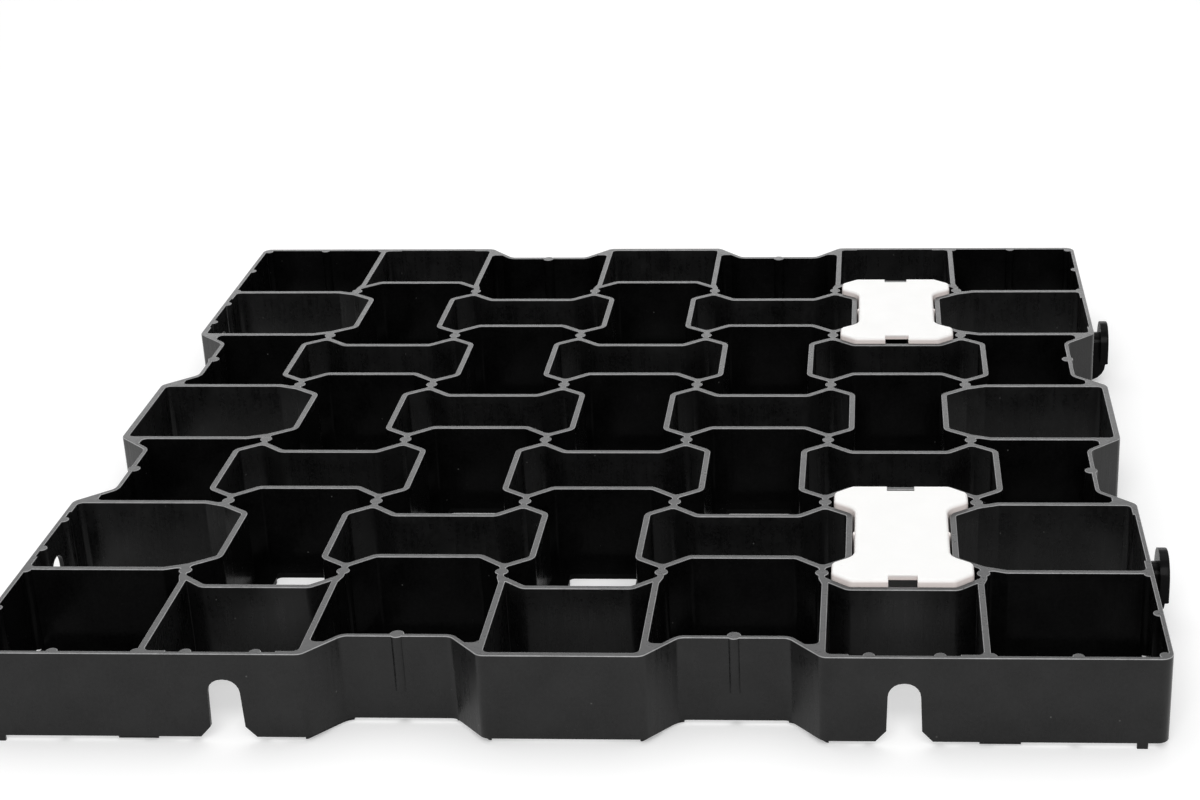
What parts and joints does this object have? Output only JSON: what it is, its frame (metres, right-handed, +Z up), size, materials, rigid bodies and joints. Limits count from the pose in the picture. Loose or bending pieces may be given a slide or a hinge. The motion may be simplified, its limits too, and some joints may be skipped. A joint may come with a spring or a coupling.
{
  "type": "grass paver grid",
  "caption": "Square black plastic ground grid with interlocking bone-shaped cells, indented outer walls, joining notches and headed stems, and white clip-in marker caps.",
  "frame": {"origin": "on the ground, at the middle of the footprint with the headed stems included", "axes": "+Z up; the notched sides face -X and -Y, and the sides with headed stems face +X and +Y"},
  "size_m": [0.5024, 0.5024, 0.0445],
  "materials": {
    "black_plastic": "satin black moulded polyethylene",
    "white_plastic": "satin white moulded plastic"
  },
  "bodies": {
    "root": {"paver_grid": "black_plastic", "marker_cap_front": "white_plastic", "marker_cap_rear": "white_plastic"}
  },
  "joints": []
}
